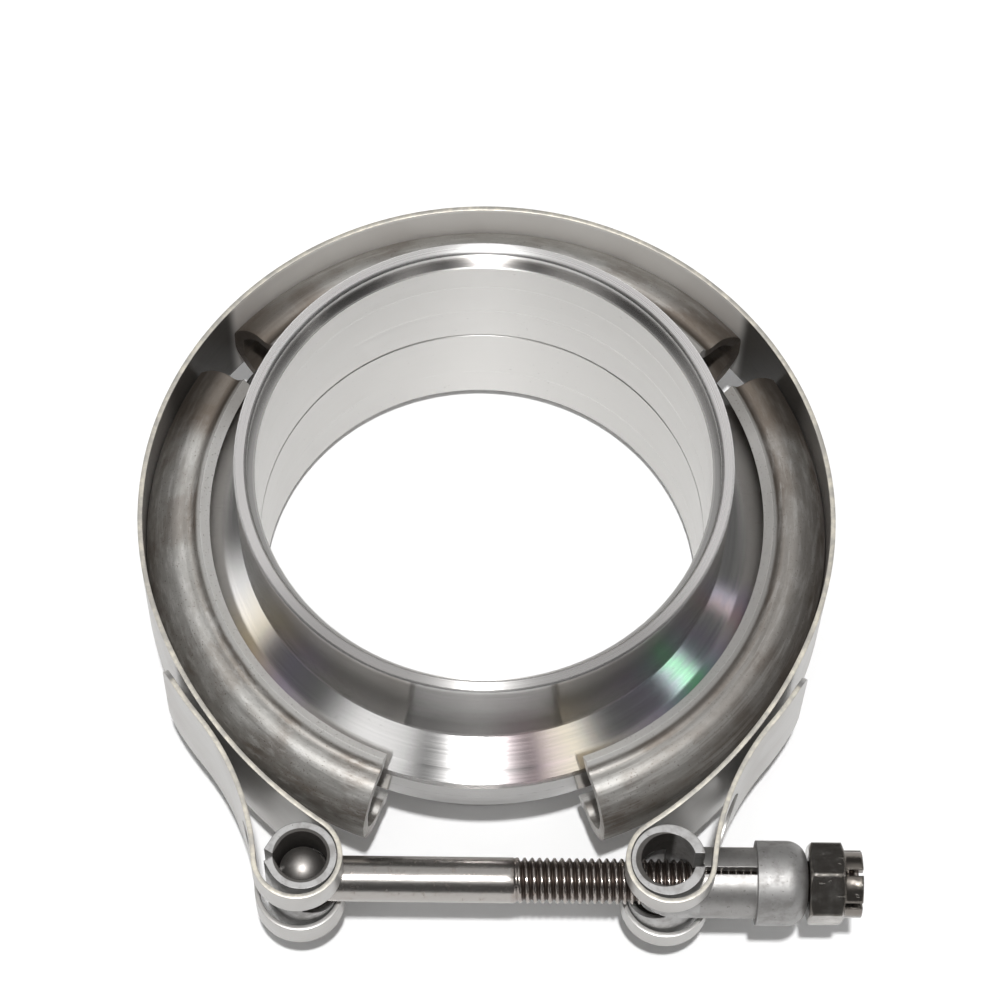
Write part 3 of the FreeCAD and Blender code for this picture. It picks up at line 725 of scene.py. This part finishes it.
def sheet_faces(rows: int, columns: int, wrap: bool = False) -> np.ndarray:
    """Corner numbers of the quads of a grid.

    Args:
        rows: points along the first direction.
        columns: points along the second direction.
        wrap: whether the second direction closes on itself.

    Returns:
        One row of four corner numbers for each quad.
    """
    across = columns if wrap else columns - 1
    row = np.arange(rows - 1)[:, None] * columns
    column = np.arange(across)[None, :]
    following = (column + 1) % columns
    quads = np.stack(
        [row + column, row + following, row + following + columns, row + column + columns], axis=-1
    )
    return quads.reshape(-1, 4)


def mesh_object(
    name: str, points: np.ndarray, faces: Sequence[Sequence[int]], sharp: float = 35.0
) -> bpy.types.Object:
    """Put points and faces into a new object at the origin.

    Args:
        name: the piece's name.
        points: the corners in millimetres.
        faces: corner numbers of each face.
        sharp: angle in degrees over which an edge stays sharp.

    Returns:
        The object.
    """
    mesh = bpy.data.meshes.new(name)
    mesh.from_pydata((points.reshape(-1, 3) * MM).tolist(), [], [list(f) for f in faces])
    mesh.shade_smooth()
    mesh.set_sharp_from_angle(angle=math.radians(sharp))
    made = bpy.data.objects.new(name, mesh)
    bpy.context.scene.collection.objects.link(made)
    return made


def apply_modifiers(piece: bpy.types.Object) -> None:
    """Make a piece's mesh the result of its modifiers and drop them.

    Args:
        piece: the object to settle.
    """
    graph = bpy.context.evaluated_depsgraph_get()
    settled = bpy.data.meshes.new_from_object(piece.evaluated_get(graph))
    old = piece.data
    piece.modifiers.clear()
    piece.data = settled
    bpy.data.meshes.remove(old)
    settled.name = piece.name


def dress(piece: bpy.types.Object, material: bpy.types.Material) -> None:
    """Give a piece one material.

    Args:
        piece: the object.
        material: its finish.
    """
    piece.data.materials.clear()
    piece.data.materials.append(material)


def dress_node(frame: Mapping[str, Any], node: str, material: bpy.types.Material) -> None:
    """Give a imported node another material.

    Args:
        frame: the loaded frame.
        node: the node's name.
        material: its finish.
    """
    for slot in frame["nodes"][node].material_slots:
        slot.material = material
    LOG.info("node %s dressed with %s", node, material.name)


# Sub-assemblies


@dataclass
class FlangePair:
    """The two turned weld flanges."""

    finish: TurnedSteel = field(default_factory=TurnedSteel)

    def build(self, frame: Mapping[str, Any]) -> None:
        """Dress both flanges.

        Args:
            frame: the loaded frame.
        """
        material = self.finish.material()
        for node in ("upper_flange", "lower_flange"):
            dress_node(frame, node, material)


@dataclass
class Segments:
    """The three rolled V segments."""

    finish: FormedSheet = field(default_factory=FormedSheet)

    def build(self, frame: Mapping[str, Any]) -> None:
        """Dress the three segments.

        Args:
            frame: the loaded frame.
        """
        material = self.finish.material()
        for node in ("back_retainer", "left_retainer", "right_retainer"):
            dress_node(frame, node, material)


@dataclass
class Band:
    """The looped band: circle, wider run, loop, and a return that ends in a tab."""

    centre: Point = CLAMP_CENTRE
    radius: float = 38.225
    gauge: float = 0.55
    width: float = 14.0
    leave: float = 200.0
    loop_along: float = 19.8
    loop_across: float = 40.85
    loop_radius: float = 4.575
    tab_radius: float = 39.75
    tab_start: float = 219.0
    tab_end: float = 209.0
    tab_corner: float = 2.0
    past_cut: float = 88.5
    slot_from: float = 40.0
    slot_start_fade: float = 1.6
    slot_end_fade: float = 4.5
    bolt_slot: tuple[float, float] = (3.0, -262.0)
    sleeve_slot: tuple[float, float] = (3.95, -312.0)
    broken_edge: float = 0.07
    edge_angle: float = 50.0
    sharp_angle: float = 40.0
    hinge: float = 145.0
    hinge_spread: float = 5.0
    arc_points: tuple[int, int, int, int, int] = (150, 40, 96, 60, 20)
    points_up: int = 12
    merge_reach: float = 0.001
    finish: RolledStrip = field(default_factory=RolledStrip)

    def arcs(self) -> list[tuple[np.ndarray, float, float, float]]:
        """The arcs of the left half's plan, each as centre, radius, start and end in degrees.

        The run leaves the circle along its tangent on a wider arc that also touches the loop.
        The return is the one arc that touches the loop and the circle of the tab at its start.

        Returns:
            The five arcs in order from the back to the end of the tab.
        """
        loop = np.array([-self.loop_along, -self.loop_across])
        far = float(np.hypot(*loop))
        out, leave = (
            np.array([math.cos(math.radians(a)), math.sin(math.radians(a))])
            for a in (self.tab_start, self.leave)
        )
        touch = self.radius + self.loop_radius
        widening = (far**2 - touch**2) / (2 * (touch - float(leave @ loop)))
        run = -widening * leave
        meet_in = self.bearing(loop - run)
        step = self.tab_radius - self.loop_radius
        reach = (far**2 - step**2) / (2 * (float(out @ loop) - step))
        bend = out * reach
        meet_out = self.bearing(bend - loop)
        origin = np.zeros(2)
        return [
            (origin, self.radius, self.past_cut, self.leave),
            (run, self.radius + widening, self.leave, meet_in),
            (loop, self.loop_radius, meet_in + 180, meet_out),
            (bend, reach - self.tab_radius, meet_out - 180, self.tab_start - 180),
            (origin, self.tab_radius, self.tab_start, self.tab_end),
        ]

    @staticmethod
    def bearing(way: np.ndarray) -> float:
        """The angle of a direction from +X, in degrees from 0 to 360."""
        return math.degrees(math.atan2(way[1], way[0])) % 360

    def plan(self) -> tuple[np.ndarray, float]:
        """The left half's plan line.

        Returns:
            Its points relative to the clamp axis, and its length up to the start of the slot.
        """
        pieces = []
        arcs = self.arcs()
        for (centre, radius, start, end), count in zip(arcs, self.arc_points):
            angle = np.radians(np.linspace(start, end, count))
            arc = centre + radius * np.stack([np.cos(angle), np.sin(angle)], axis=1)
            pieces.append(arc[1:] if pieces else arc)
        points = np.concatenate(pieces)
        before = sum(len(piece) for piece in pieces[:2]) - 1
        loop_start = arcs[2][2] % 360
        turned = math.radians(loop_start - self.slot_from) * self.loop_radius
        return points, float(self.lengths(points)[before]) + turned

    @staticmethod
    def lengths(points: np.ndarray) -> np.ndarray:
        """The length of a line of points up to each of them."""
        steps = np.linalg.norm(np.diff(points, axis=0), axis=1)
        return np.concatenate([[0.0], np.cumsum(steps)])

    def half_slot(self, along: np.ndarray, begin: float, side: Side) -> np.ndarray:
        """Half height of the loop's slot at each point of the plan.

        It is the slot's half height inside the slot and falls to nothing over each end, as the
        root of one minus the square of the way into that end: round where the slot begins on the
        inner strand, and longer where it runs out on the outer one.

        Args:
            along: the plan line's length up to each point.
            begin: its length up to the slot.
            side: which half of the band it is.

        Returns:
            The half heights, nothing outside the slot.
        """
        high, last = self.bolt_slot if side is Side.LEFT else self.sleeve_slot
        end = begin + self.loop_radius * math.radians(self.slot_from - last)
        risen = (along - begin) / self.slot_start_fade
        left = (end - along) / self.slot_end_fade
        inside = np.clip(np.minimum(risen, left), 0.0, 1.0)
        return high * np.sqrt(1 - (1 - inside) ** 2)

    def half(self, side: Side) -> bpy.types.Object:
        """One half of the band as a sheet with its slot and round tab corners.

        A point is the plan line at u, raised to v between the slot's edge and the band's edge;
        near the tab's end the plan line is drawn back as a quarter circle over its corners.

        Args:
            side: which half of the band it is.

        Returns:
            The object, given its gauge and broken edges.
        """
        points, begin = self.plan()
        along = self.lengths(points)
        slot = self.half_slot(along, begin, side)
        share = np.linspace(0.0, 1.0, self.points_up)
        half_width = self.width / 2
        up = slot[:, None] + (half_width - slot[:, None]) * share[None, :]
        corner = np.clip(up - (half_width - self.tab_corner), 0.0, self.tab_corner)
        back = self.tab_corner - np.sqrt(self.tab_corner**2 - corner**2)
        corner_run = self.tab_corner * 2
        fade = np.clip((along - along[-1] + corner_run) / corner_run, 0.0, 1.0)[:, None]
        moved = along[:, None] - back * fade
        x = np.interp(moved, along, points[:, 0]) * -side.value
        y = np.interp(moved, along, points[:, 1])
        upper = np.stack([x, y, up], axis=-1)
        lower = upper * np.array([1.0, 1.0, -1.0])
        rows, columns = up.shape
        both = np.concatenate([upper.reshape(-1, 3), lower.reshape(-1, 3)]) + np.array(self.centre)
        quads = sheet_faces(rows, columns)
        faces = np.concatenate([quads, quads[:, ::-1] + rows * columns])
        made = mesh_object(f"strap_{side.name.lower()}", both, faces)
        self.finish_sheet(made, side)
        return made

    def finish_sheet(self, made: bpy.types.Object, side: Side) -> None:
        """Merge a sheet's halves, give it its gauge and broken edges, and cut it at the back.

        Args:
            made: the sheet, which starts a little past the cut.
            side: which half of the band it is.
        """
        work = bmesh.new()
        work.from_mesh(made.data)
        bmesh.ops.remove_doubles(work, verts=work.verts, dist=self.merge_reach * MM)
        bmesh.ops.recalc_face_normals(work, faces=work.faces)
        work.to_mesh(made.data)
        work.free()
        gauge = made.modifiers.new("gauge", "SOLIDIFY")
        gauge.thickness = self.gauge * MM
        gauge.offset = 0.0
        gauge.use_even_offset = True
        edges = made.modifiers.new("broken_edges", "BEVEL")
        edges.width = self.broken_edge * MM
        edges.segments = 2
        edges.limit_method = "ANGLE"
        edges.angle_limit = math.radians(self.edge_angle)
        apply_modifiers(made)
        work = bmesh.new()
        work.from_mesh(made.data)
        cut = bmesh.ops.bisect_plane(
            work,
            geom=[*work.verts, *work.edges, *work.faces],
            plane_co=(self.centre[0] * MM, 0.0, 0.0),
            plane_no=(side.value, 0.0, 0.0),
            clear_inner=True,
        )
        rim = [item for item in cut["geom_cut"] if isinstance(item, bmesh.types.BMEdge)]
        bmesh.ops.contextual_create(work, geom=rim)
        work.to_mesh(made.data)
        work.free()
        made.data.shade_smooth()
        made.data.set_sharp_from_angle(angle=math.radians(self.sharp_angle))

    def build(self, frame: Mapping[str, Any]) -> None:
        """Build and dress both halves, and hide the imported strap.

        Args:
            frame: the loaded frame; not used.
        """
        material = self.finish.material()
        for side in Side:
            piece = self.half(side)
            dress(piece, material)
            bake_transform(piece)
            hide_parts("strap")
            LOG.info("band half %s: %d faces", piece.name, len(piece.data.polygons))


@dataclass
class TBolt:
    """The T bolt with its upright pin, plain shank and rolled thread."""

    axis: Point = BOLT_AXIS
    pin_along: float = -18.85
    pin_radius: float = 2.45
    pin_half: float = 5.0
    pin_pole: float = -88.0
    radius: float = THREAD_CREST
    tip: float = 40.55
    chamfer: float = 0.5
    pitch: float = 0.8
    depth: float = THREAD_DEPTH
    root_flat: float = 0.14
    flank: float = 0.62
    thread_start: float = THREAD_START
    around: int = 56
    plain_rows: int = 24
    pole_rows: int = 20
    rows_per_turn: int = 10
    finish: RolledRod = field(default_factory=RolledRod)

    def shank(self) -> tuple[np.ndarray, list[list[int]]]:
        """The shank as a surface round the bolt's axis.

        The radius at x and angle a is the crest less the thread's depth times a trapezoid wave
        of x over the pitch less a over a full turn; the thread fades in over one pitch.

        Returns:
            Points and faces.
        """
        plain = np.linspace(self.pin_along, self.thread_start, self.plain_rows)
        steps = int((self.tip - self.thread_start) / self.pitch * self.rows_per_turn)
        threaded = np.linspace(self.thread_start, self.tip, steps + 1)[1:]
        along = np.concatenate([plain, threaded])
        angle = np.linspace(0, 2 * np.pi, self.around, endpoint=False)
        turn = np.mod(along[:, None] / self.pitch - angle[None, :] / (2 * np.pi), 1.0)
        ridge = np.clip((np.abs(2 * turn - 1) - self.root_flat) / self.flank, 0.0, 1.0)
        fade = np.clip((along - self.thread_start) / self.pitch, 0.0, 1.0)[:, None]
        reach = self.radius - self.depth * (1 - ridge) * fade
        end = np.clip((along - (self.tip - self.chamfer)) / self.chamfer, 0.0, 1.0)[:, None]
        reach = np.minimum(reach, self.radius - self.chamfer * end)
        x = np.broadcast_to(along[:, None], reach.shape)
        points = np.stack([x, reach * np.cos(angle), reach * np.sin(angle)], axis=-1)
        poles = np.array([[self.pin_along, 0.0, 0.0], [self.tip, 0.0, 0.0]])
        rows = len(along)
        quads = sheet_faces(rows, self.around, wrap=True)
        first = np.arange(self.around)
        following = (first + 1) % self.around
        count = rows * self.around
        start = np.stack([np.full(self.around, count), following, first], axis=1)
        last = (rows - 1) * self.around
        stop = np.stack([np.full(self.around, count + 1), last + first, last + following], axis=1)
        faces = [list(q) for q in quads[:, ::-1]] + [list(t[::-1]) for t in start]
        faces += [list(t[::-1]) for t in stop]
        return np.concatenate([points.reshape(-1, 3), poles]) + np.array(self.axis), faces

    def pin(self) -> tuple[np.ndarray, list[list[int]]]:
        """The upright pin as a surface round its own axis.

        The profile is a quarter circle, a straight side and a quarter circle again.

        Returns:
            Points and faces.
        """
        high = self.pin_half - self.pin_radius
        bow = np.radians(np.linspace(self.pin_pole, 0.0, self.pole_rows))
        round_end = np.stack([np.cos(bow), np.sin(bow)], axis=1) * self.pin_radius
        low = round_end - np.array([0.0, high])
        top = low[::-1] * np.array([1.0, -1.0])
        profile = np.concatenate([low, top])
        angle = np.linspace(0, 2 * np.pi, self.around, endpoint=False)
        x = profile[:, :1] * np.cos(angle) + self.pin_along
        y = profile[:, :1] * np.sin(angle)
        z = np.broadcast_to(profile[:, 1:], x.shape)
        points = np.stack([x, y, z], axis=-1) + np.array(self.axis)
        rows = len(profile)
        faces = [list(q) for q in sheet_faces(rows, self.around, wrap=True)]
        faces.append(list(range(self.around))[::-1])
        faces.append(list(range((rows - 1) * self.around, rows * self.around)))
        return points.reshape(-1, 3), faces

    def build(self, frame: Mapping[str, Any]) -> None:
        """Build the bolt in one mesh.

        Args:
            frame: the loaded frame; not used.
        """
        shank_points, shank_faces = self.shank()
        pin_points, pin_faces = self.pin()
        count = len(shank_points)
        faces = shank_faces + [[i + count for i in f] for f in pin_faces]
        points = np.concatenate([shank_points, pin_points])
        piece = mesh_object("t_bolt_threaded", points, faces, sharp=50.0)
        dress(piece, self.finish.material())
        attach(piece, "bolt")
        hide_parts("t_bolt")
        LOG.info("bolt: %d faces", len(piece.data.polygons))


@dataclass
class Trunnions:
    """The open bush, the barrel with its sleeve, and the sleeve's collar."""

    finish: TumbledSteel = field(default_factory=TumbledSteel)

    def build(self, frame: Mapping[str, Any]) -> None:
        """Dress the three pieces.

        Args:
            frame: the loaded frame.
        """
        material = self.finish.material()
        for node in ("saddle_bush", "barrel_trunnion", "sleeve_cap"):
            dress_node(frame, node, material)


@dataclass
class LockNut:
    """The hexagon nut with its slotted collar."""

    finish: PlatedNut = field(default_factory=PlatedNut)

    def build(self, frame: Mapping[str, Any]) -> None:
        """Dress the nut.

        Args:
            frame: the loaded frame.
        """
        dress_node(frame, "lock_nut", self.finish.material())


# Studio


@dataclass
class Studio:
    """White table, one lamp overhead, a dark room with a pale roof, and the camera."""

    floor_reach: float = 4.0
    floor_colour: Rgb = (0.9, 0.9, 0.9)
    white: Rgb = (1.0, 1.0, 1.0)
    floor_glow: float = 0.015
    floor_corners: int = 64
    roof_light: float = 0.56
    wall_light: float = 0.45
    middle_light: float = 0.9
    panel_light: float = 1.3
    dark_light: float = 0.08
    windows: tuple[tuple[float, float, float, float, float], ...] = (
        (0.64, -0.12, 1.0, 0.09, 3.2),
        (0.74, 0.15, 1.0, 0.06, 2.0),
        (-0.73, 0.12, 0.4, 0.10, 2.4),
    )
    lamp_at: Point = (0.0, -0.34, 1.36)
    lamp_size: tuple[float, float] = (0.05, 0.05)
    lamp_power: float = 15.2
    camera_at: Point = (-3.487, -174.71, 385.02)
    right: Point = (0.99953, -0.03054, 0.0)
    up: Point = (0.02749, 0.89988, 0.4352)
    forward: Point = (0.01329, 0.435, -0.9003)
    roll: float = 2.3
    lens: float = 131.4
    sensor: float = 36.0
    nearest: float = 0.01

    def camera(self) -> None:
        """Place the camera at the picture's angle."""
        data = bpy.data.cameras.new("studio_camera")
        data.lens = self.lens
        data.sensor_width = self.sensor
        data.clip_start = self.nearest
        made = bpy.data.objects.new("studio_camera", data)
        bpy.context.scene.collection.objects.link(made)
        roll = math.radians(self.roll)
        right, up, forward = Vector(self.right), Vector(self.up), Vector(self.forward)
        along = (math.cos(roll) * right + math.sin(roll) * up).normalized()
        upright = (math.cos(roll) * up - math.sin(roll) * right).normalized()
        turned = Matrix((along, upright, -forward)).transposed().to_4x4()
        made.matrix_world = Matrix.Translation(Vector(self.camera_at) * MM) @ turned
        bpy.context.scene.camera = made

    def floor(self) -> None:
        """A round table, pure white as seen and a little duller in the light it throws back."""
        angle = np.linspace(0, 2 * np.pi, self.floor_corners, endpoint=False)
        rim = np.stack([np.cos(angle), np.sin(angle), np.zeros_like(angle)], axis=1)
        points = rim * self.floor_reach / MM
        made = mesh_object("studio_floor", points, [list(range(len(points)))])
        graph = new_graph("studio_floor_white")
        path = graph.node("ShaderNodeLightPath", output="Is Camera Ray")
        glossy = Value(graph, path.socket.node.outputs["Is Glossy Ray"])
        colour = graph.blend(path, self.floor_colour, self.white)
        matt = graph.node("ShaderNodeBsdfDiffuse", inputs={"Color": colour})
        lift = (path + glossy) * self.floor_glow
        glow = graph.node("ShaderNodeEmission", inputs={"Color": self.white, "Strength": lift})
        both = graph.node("ShaderNodeAddShader", inputs={0: matt, 1: glow})
        graph.node("ShaderNodeOutputMaterial", inputs={"Surface": both})
        dress(made, bpy.data.materials["studio_floor_white"])

    def lamp(self) -> None:
        """Add the one lamp, small and high over the bolt's side, which faces the part."""
        data = bpy.data.lights.new("key_lamp", "AREA")
        data.shape = "RECTANGLE"
        data.size, data.size_y = self.lamp_size
        data.energy = self.lamp_power
        made = bpy.data.objects.new("key_lamp", data)
        bpy.context.scene.collection.objects.link(made)
        at = Vector(self.lamp_at)
        turn = (-at).to_track_quat("-Z", "Y")
        made.matrix_world = Matrix.Translation(at) @ turn.to_matrix().to_4x4()

    @staticmethod
    def spot(x: Value, y: Value, reach: float) -> Value:
        """A soft round patch: the root of the squares of x and y, stepped down over its reach."""
        return (x * x + y * y).root().step(reach, reach * 0.25)

    def world(self) -> None:
        """A dark room whose pale parts the metal mirrors.

        Each part is a smooth step of the direction: a roof round the direction that the level
        faces mirror, a low wall, panels in front that the cone mirrors in fans, and three small
        windows at its sides. A window is given by its place along x and y, the share of y that
        counts, its reach and its light.
        """
        world = bpy.data.worlds.new("studio_room")
        world.use_nodes = True
        bpy.context.scene.world = world
        graph = Graph(world.node_tree)
        x, y, z = graph.split(graph.node("ShaderNodeTexCoord", output="Generated"))
        roof = (z * 0.90 + y * 0.42 + x.absolute() * 0.16).step(0.80, 0.98)
        wall = z.step(0.12, 0.02)
        front = y.step(-0.20, -0.30) * y.step(-0.62, -0.50)
        middle = x.absolute().step(0.17, 0.04)
        right = x.step(0.18, 0.26) * x.step(0.44, 0.34)
        left = x.step(-0.18, -0.26) * x.step(-0.58, -0.42)
        level = roof * self.roof_light + wall * self.wall_light + self.dark_light
        panels = middle * self.middle_light + (right + left) * self.panel_light
        level = level + front * panels
        for along, across, share, reach, light in self.windows:
            level = level + self.spot(x - along, (y - across) * share, reach) * light
        room = graph.node("ShaderNodeBackground", inputs={"Color": self.white, "Strength": level})
        graph.node("ShaderNodeOutputWorld", inputs={"Surface": room})

    def build(self) -> None:
        """Set the studio up."""
        self.camera()
        self.floor()
        self.world()
        self.lamp()
        bpy.context.scene.view_settings.view_transform = "Standard"


def main() -> None:
    """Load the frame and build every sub-assembly."""
    logging.basicConfig(level=logging.INFO, format="%(name)s: %(message)s")
    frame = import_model()
    Studio().build()
    for part in (FlangePair(), Segments(), Band(), TBolt(), Trunnions(), LockNut()):
        part.build(frame)


if __name__ == "__main__":
    main()
